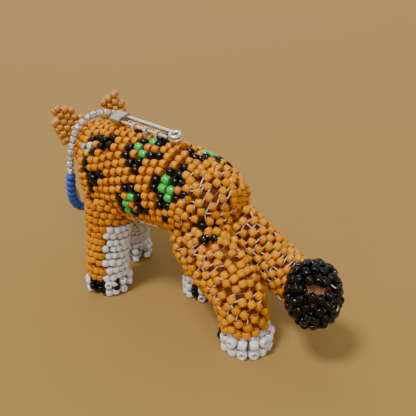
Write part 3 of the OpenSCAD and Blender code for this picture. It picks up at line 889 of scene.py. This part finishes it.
for colour, marks in SIDE_MARKS.items():
    for x, angle in marks + [(x, 180 - angle) for x, angle in marks]:
        recolour(mark_point(x, angle), colour)
for colour, marks in TOP_MARKS.items():
    for x, angle in marks:
        recolour(mark_point(x, angle), colour)
for spot in THIGH_MARKS:
    recolour(place(spot), "black")

torso.fuller("green", 1.09)
STANDS_FOR = {"black": ("rosette_rings", "shoulder_beads"), "green": ("rosette_greens",),
              "orange": ("rosette_oranges",), "white": ("belly_panel",)}
for colour in ("black", "green", "orange", "white", "pale_blue", "yellow"):
    show_beads("torso_" + colour + "_beads", torso.of(colour), "figure", colour, STANDS_FOR.get(colour, ()))
SPLIT_X = place((2, 0, 0))[0]           # the amber beads are in two pieces, to keep each small
front = [bead for bead in torso.of("amber") if bead[0][0] > SPLIT_X]
rear = [bead for bead in torso.of("amber") if bead[0][0] <= SPLIT_X]
show_beads("torso_front_beads", front, "figure", "amber", ("torso_net",))
show_beads("torso_rear_beads", rear, "figure", "amber")
link_threads(torso.beads, 0.7, whites, browns)

for leg, net in zip(LEGS, leg_nets):
    link_threads(net.beads, 0.5, whites, browns)
    show_beads(leg + "_leg_beads", net.of("amber"), "figure", "amber", (leg + "_leg_net",))
    show_beads(leg + "_inner_beads", net.of("white"), "figure", "white", (leg + "_inner_panel",))
show_beads("thigh_mark_beads", [one for net in leg_nets for one in net.of("black")], "figure", "black")


# ---------------------------------------------------------------- paws
def islands(node):
    """Each separate solid of a CAD node: its middle, its three ways from thinnest to longest, and its
    half sizes along them."""
    data = NODES[node].data
    keys = [tuple(round(c * 1e6) for c in v.co) for v in data.vertices]     # corners that meet are one
    first = {}
    for i, key in enumerate(keys):
        first.setdefault(key, i)
    parent = [first[key] for key in keys]

    def root(i):
        while parent[i] != i:
            parent[i] = parent[parent[i]]
            i = parent[i]
        return i

    for a, b in (tuple(e.vertices) for e in data.edges):
        parent[root(a)] = root(b)
    groups = {}
    for i in first.values():
        groups.setdefault(root(i), []).append(tuple(data.vertices[i].co))
    found = []
    for points in groups.values():
        points = np.array(points)
        ways = np.linalg.svd(points - points.mean(0), full_matrices=False)[2][::-1]
        half = np.array([np.ptp((points - points.mean(0)) @ w) / 2 for w in ways])
        found.append((points.mean(0), ways, half))
    return found


PAW_BEAD_R = (1.02, 1.02, 1.16, 1.1)     # radius of the white beads of each paw, mm
PAW_ROWS = (0.22, 0.72)                  # their heights, as parts of the paw's height
PAW_REACH = 8 * MM                       # toe lines nearer than this belong to the paw
TOE_BEADS = 3                            # black beads stacked in each line between the toes
UP = np.array((0.0, 0.0, 1.0))


def paw_bead(skin, centre, turn, height, r, half, hole):
    """A bead on the paw's rim with its hole upright, outward or along the rim."""
    out = np.array((math.cos(turn), math.sin(turn), 0.0))
    hit = skin.outside(centre + UP * height * MM, out)
    ways = {"up": (out, UP), "out": (UP, out), "round": (out, np.cross(UP, out))}
    normal, along = ways[hole]
    reach = half if hole == "out" else r
    axes = frame_on(normal, along, rng.normal(0, 0.1), rng.normal(0, 0.12))
    return hit[0] - out * (reach - 0.05) * MM, axes, r, half


toes = []
toe_lines = [middle for middle, ways, half in islands("toe_lines")]
for i, leg in enumerate(LEGS):
    skin = Skin(leg + "_paw", "toe_lines")
    centre = place((*PAWS[i], 0))
    low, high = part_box(leg + "_paw")
    height = (high[2] - low[2]) / MM
    reach = (high[0] - low[0]) / 2 / MM
    near = [(m - centre)[:2] for m in toe_lines if np.linalg.norm((m - centre)[:2]) < PAW_REACH]
    turns = sorted(math.atan2(y, x) for x, y in near)
    for turn in turns:
        for step in range(TOE_BEADS):
            spot = 0.95 + (height - 1.6) * step / (TOE_BEADS - 1)
            toes.append(paw_bead(skin, centre, turn, spot, BEAD_R, 0.72, "up"))
    r = PAW_BEAD_R[i]
    half = 0.82 * r
    side = 2 * r / (reach - r) * 1.02        # turn that one white bead takes up
    line = 2 * BEAD_R / (reach - r)          # turn that one black bead takes up
    pads = []
    for a, b in zip(turns, turns[1:] + [turns[0] + 2 * math.pi]):
        room = b - a - line
        count = int(round(room / side))
        for part in PAW_ROWS:
            for k in range(count):
                turn = a + line / 2 + room * (k + 0.5) / count
                hole = rng.choice(("up", "up", "out", "round"))
                pads.append(paw_bead(skin, centre, turn, part * height, r, half, hole))
    # a ring and a middle bead under the paw, and a ring on top of it
    for ring_r, count, rise in ((reach * 0.42, 6, r), (0.0, 1, r), (reach * 0.62, 10, height - 0.55 * r)):
        for k in range(count):
            turn = 2 * math.pi * k / count
            out = np.array((math.cos(turn), math.sin(turn), 0.0))
            axes = frame_on(-UP, out, rng.normal(0, 0.2))
            pads.append((centre + (out * ring_r + UP * rise) * MM, axes, r, half))
    show_beads(leg + "_paw_beads", pads, "figure", "white", (leg + "_paw",))
show_beads("toe_beads", toes, "figure", "black", ("toe_lines",))

# ---------------------------------------------------------------- tail
tail_whites, tail_browns = [], []
link_threads(tail.beads, 0.6, tail_whites, tail_browns)
show_beads("tail_beads", tail.of("amber"), "tail", "amber", ("tail_net",))
tip_line = [TIP_BASE + TIP_AXIS * along for along in (0.8, 4.6)]
tip_tube = Tube(Skin("tail_tip"), tip_line, (0, 0, 1), end_cap=True)
tip = Net(tip_tube, lambda owner, spot, normal: "black", lambda spot: 0.9, size=1.06, rough=0.16)
across = unit(np.cross(UP, TIP_AXIS))
upward = np.cross(TIP_AXIS, across)
beside = upward * 0.9 * MM          # the very end of the CAD tip is its hole, so look beside it
tip_end = tip_tube.skin.outside(place(tip_line[1]) + beside, TIP_AXIS)[0] - beside
HOLE_AT, HOLE_R = tip_end + (0.5 * upward - 0.1 * across) * MM, 1.2 * MM
tip.beads = [b for b in tip.beads if np.linalg.norm(b["centre"] - HOLE_AT) > HOLE_R]
link_threads([dict(b, open=1.0) for b in tip.beads], 0.16, tail_whites, [], on_black=True)
show_beads("tail_tip_beads", tip.of("black"), "tail", "black", ("tail_tip",))
KNOT_POINTS, KNOT_TURN = 90, 18     # points in the coiled thread under the hole, and in each of its turns
knot = []
for k in range(KNOT_POINTS):
    turn, out = 2 * math.pi * k / KNOT_TURN, 0.25 + 2.3 * k / KNOT_POINTS
    spoke = across * math.cos(turn) + upward * math.sin(turn)
    knot.append(tip_end - TIP_AXIS * (2.1 + 0.25 * out) * MM + spoke * out * MM)
show_threads("tail_tip_knot", [knot], 0.27, "tail", BROWN_THREAD, (), 8, 3)

# ---------------------------------------------------------------- head
show_beads("head_beads", head.of("amber"), "figure", "amber", ("head_net",))
show_beads("muzzle_beads", head.of("white"), "figure", "white", ("muzzle_panel",))
EAR_COLUMN, EAR_ROW = 1.6, 1.85     # distances between the ears' beads, mm


def ear_beads(node):
    """A flap of beads side by side in upright columns, within the outline of the CAD flap."""
    (middle, ways, half), = islands(node)
    thin, wide, tall = ways
    if tall[2] < 0:
        tall = -tall
    skin = Skin(node)
    beads = []
    for i in range(-5, 6):
        for j in range(-6, 7):
            spot = middle + wide * (i * EAR_COLUMN * MM) + tall * ((j + 0.5 * (i % 2)) * EAR_ROW * MM)
            hit = skin.outside(spot, thin, 0.01)
            if hit is None or abs((hit[0] - spot) @ thin) > 2 * MM:
                continue
            for shift, lift, part in ((0.0, 0.3, 1.0), (0.5, -0.35, 0.92)):     # two layers, back and front
                axes = frame_on(thin, wide, rng.normal(0, 0.12), rng.normal(0, 0.1))
                sideways = (wide * EAR_COLUMN + tall * 0.9) * shift
                lain = spot + (thin * (lift + rng.normal(0, 0.06)) + sideways) * MM
                beads.append((lain, axes, BEAD_R * part * rng.normal(1, 0.04), BEAD_HALF))
    return beads


for side in ("left", "right"):
    show_beads(side + "_ear_beads", ear_beads(side + "_ear"), "figure", "honey", (side + "_ear",))


def island_beads(node, radius, half):
    """A lathed bead in the place of each round bead of a CAD node, with its hole along the odd way out."""
    beads = []
    for middle, ways, size in islands(node):
        odd = int(np.argmax(np.abs(size - np.median(size))))
        hole = ways[odd]
        other = ways[(odd + 1) % 3]
        beads.append((middle, frame_on(other, hole), radius, half))
    return beads


for side in ("left", "right"):
    found = sorted(islands(side + "_eye"), key=lambda one: one[2].max())
    ball, ring = found[0], found[-1]
    way = unit(ball[0] - ring[0] + np.array((1e-6, 0, 0)))
    across = np.cross(way, (0.3, 0.2, 0.9))
    eye, pupil = (ring[0], frame_on(across, way), 1.2, 0.75), (ball[0], frame_on(way, across), 0.85, 0.8)
    show_beads(side + "_eye_bead", [eye], "figure", "gold", (side + "_eye",))
    show_beads(side + "_pupil_bead", [pupil], "figure", "black")
nose = island_beads("nose_beads", BEAD_R, BEAD_HALF)
show_beads("nose_tip_beads", nose, "figure", "black", ("nose_beads",))

# ---------------------------------------------------------------- collar
for glass, r, half in (("clear", BEAD_R, 0.76), ("blue", 1.35, 0.74)):
    node = "collar_" + glass + "_beads"
    show_beads("strand_" + glass + "_beads", island_beads(node, r, half), "collar", glass, (node,))
COLLAR_MID, COLLAR_TURN, COLLAR_LEAN = np.array((27.6, -3.9, 30.5)), math.radians(25), 0.12
COLLAR_W, COLLAR_H, COLLAR_SWELL = 9.2, 14.0, 4.0
STITCH_PART = 0.28          # where the strand is stitched to the neck, as a part of its length


def collar_design(turn, grow=0.0):
    """The strand's line in design mm, an egg shape that swells forward below; grow widens it."""
    def soft(v):
        return math.copysign(abs(v) ** 0.8, v)
    w, h = (COLLAR_W + grow) * soft(math.cos(turn)), (COLLAR_H + grow) * soft(math.sin(turn))
    ahead = COLLAR_SWELL * (min(h, 0) / COLLAR_H) ** 2
    return COLLAR_MID + (w * math.sin(COLLAR_TURN) - COLLAR_LEAN * h + ahead, w * math.cos(COLLAR_TURN), h)


loop = [collar_design(2 * math.pi * k / 360) for k in range(361)]
loop_run = np.concatenate([[0], np.cumsum(np.linalg.norm(np.diff(loop, axis=0), axis=1))])
stitch_index = int(np.searchsorted(loop_run, STITCH_PART * loop_run[-1]))
STITCH_AT = loop[stitch_index]
strand_line = [place(loop[(stitch_index + k) % 360]) for k in range(0, 358, 2)]
show_threads("strand_thread", [strand_line], 0.21, "collar", CLEAR_THREAD, ("collar_cord",), 8, 3)
SLACK_FROM, SLACK_TO, SLACK_IN = -8, -70, 1.5       # degrees round the strand, and how far inside it, mm
slack_line = []
for angle in range(SLACK_FROM, SLACK_TO - 1, -2):
    part = (angle - SLACK_FROM) / (SLACK_FROM - SLACK_TO)
    slack_line.append(place(collar_design(math.radians(angle), SLACK_IN * math.sin(math.pi * part))))
show_threads("strand_slack_thread", [slack_line], 0.3, "collar", CLEAR_THREAD, (), 8, 3)

# ---------------------------------------------------------------- threads
PIN_REAR, PIN_TILT, PIN_ROLL, PIN_LEN = np.array((-2, 2.3, 42.4)), 8, 17, 18.5
ARM_R, STITCH_R = 0.375, 0.17
STITCHES = (0.24, 0.42, 0.62)          # places along the pin's arm


def in_pin(point):
    """A point of the pin's own frame in the row frame."""
    tilt = Matrix.Rotation(math.radians(-PIN_TILT), 3, "Y")
    roll = Matrix.Rotation(math.radians(-PIN_ROLL), 3, "X")
    return place(np.array(tilt @ roll @ Vector(point)) + PIN_REAR)


def loop_over(to_row, x, r, legs):
    """A thread over a wire that runs along x: up one side, round it and down the other."""
    arc = [(x, r * math.cos(a), r * math.sin(a)) for a in np.linspace(0, math.pi, 13)]
    down = np.linspace(legs, 0.25, 6)
    return [to_row(p) for p in [(x, r, -d) for d in down] + arc + [(x, -r, -d) for d in down[::-1]]]


def at_stitch(point):
    """Across, along the strand and up from the collar's stitch."""
    x, y, z = point
    c, s = math.cos(COLLAR_TURN), math.sin(COLLAR_TURN)
    return place(STITCH_AT + (y * c + x * s, -y * s + x * c, z))


pin_loops = [loop_over(in_pin, part * PIN_LEN + step, ARM_R + 2 * STITCH_R, 2.2)
             for part in STITCHES for step in (-0.2, 0.2)]
show_threads("pin_stitch_threads", pin_loops, STITCH_R, "figure", WHITE_THREAD, ("pin_stitches",), 8, 3)
collar_loops = [loop_over(at_stitch, step, 0.55, 3.4) for step in (-0.25, 0.15)]
show_threads("collar_stitch_threads", collar_loops, STITCH_R, "figure", WHITE_THREAD,
             ("collar_stitch",), 8, 3)
TUFT = ((-2.6, 0.9, 0.5), (-2.2, -0.8, -0.2), (-3.2, 0.2, -0.9), (-1.4, 1.6, -0.6), (-1.2, -1.7, 0.3))
tuft = []           # loose thread ends, each a low arch back, along and up from the stitch
for back, along, rise in TUFT:
    tuft.append([at_stitch((along * t, back * t, -0.4 + rise * t + 0.9 * t * (1 - t)))
                 for t in np.linspace(0, 1, 9)])
show_threads("stitch_tuft", tuft, 0.13, "figure", CLEAR_THREAD, (), 6, 3)
show_threads("body_threads_white", whites, 0.14, "figure", WHITE_THREAD)
show_threads("body_threads_brown", browns, 0.10, "figure", BROWN_THREAD)
show_threads("tail_threads_white", tail_whites, 0.14, "tail", WHITE_THREAD)
show_threads("tail_threads_brown", tail_browns, 0.10, "tail", BROWN_THREAD)

# ---------------------------------------------------------------- pin
for node in ("pin_back", "pin_clasp", "pin_arm"):
    NODES[node].data.materials.clear()
    NODES[node].data.materials.append(CLASP if node == "pin_clasp" else WIRE)


# ---------------------------------------------------------------- studio
def sun(name, towards, strength, angle, colour=(1, 1, 1)):
    """A sun lamp that shines along that way; a wider angle, in degrees, makes softer shadows."""
    data = bpy.data.lights.new(name, "SUN")
    data.energy, data.angle, data.color = strength, math.radians(angle), colour
    made = bpy.data.objects.new(name, data)
    made.rotation_euler = Vector(towards).to_track_quat("-Z", "Y").to_euler()
    bpy.context.scene.collection.objects.link(made)


sun("key", (-0.15, -0.55, -1.0), 2.6, 14, (1, 0.98, 0.95))
sun("side", (0.62, -0.52, -0.60), 0.6, 25, (0.97, 0.98, 1))
sun("rim", (-0.65, 0.6, -0.75), 0.4, 25)

PAPER = (0.343, 0.205, 0.062)
FLAT, EDGE, RISE, SECTORS = 20.0, 60.0, 9.5, 72       # a flat floor that sweeps up to a far rim, metres


def sweep():
    """Corners, edges and faces of the floor: a flat disc with a rim that rises smoothly all round."""
    turn = np.arange(SECTORS) * 2 * math.pi / SECTORS
    rings = np.linspace(FLAT, EDGE, 21)
    points = [(r * math.cos(a), r * math.sin(a), RISE * ((r - FLAT) / (EDGE - FLAT)) ** 2)
              for r in rings for a in turn]
    faces = [tuple(range(SECTORS))]
    for i in range(len(rings) - 1):
        for k in range(SECTORS):
            a, b = i * SECTORS + k, i * SECTORS + (k + 1) % SECTORS
            faces.append((a, a + SECTORS, b + SECTORS, b))
    return points, [], faces


floor_mesh = bpy.data.meshes.new("floor")
floor_mesh.from_pydata(*sweep())
floor_mesh.shade_smooth()
floor = bpy.data.objects.new("floor", floor_mesh)
bpy.context.scene.collection.objects.link(floor)
floor_shader = Shader("floor_paper", Roughness=0.85, Specular_IOR_Level=0.1)
floor_spot = floor_shader.place()
fibres = tuple((at, tuple(part * c for c in PAPER)) for at, part in ((0.3, 0.985), (0.7, 1.015)))
floor_shader.colour(floor_shader.ramp(floor_shader.noise(floor_spot, 60, 3, 0.5), fibres))
floor_mesh.materials.append(floor_shader.material)

world = bpy.data.worlds.new("studio")
world.use_nodes = True
background = world.node_tree.nodes["Background"].inputs
background["Color"].default_value = (0.60, 0.61, 0.63, 1)
background["Strength"].default_value = 1.0
bpy.context.scene.world = world
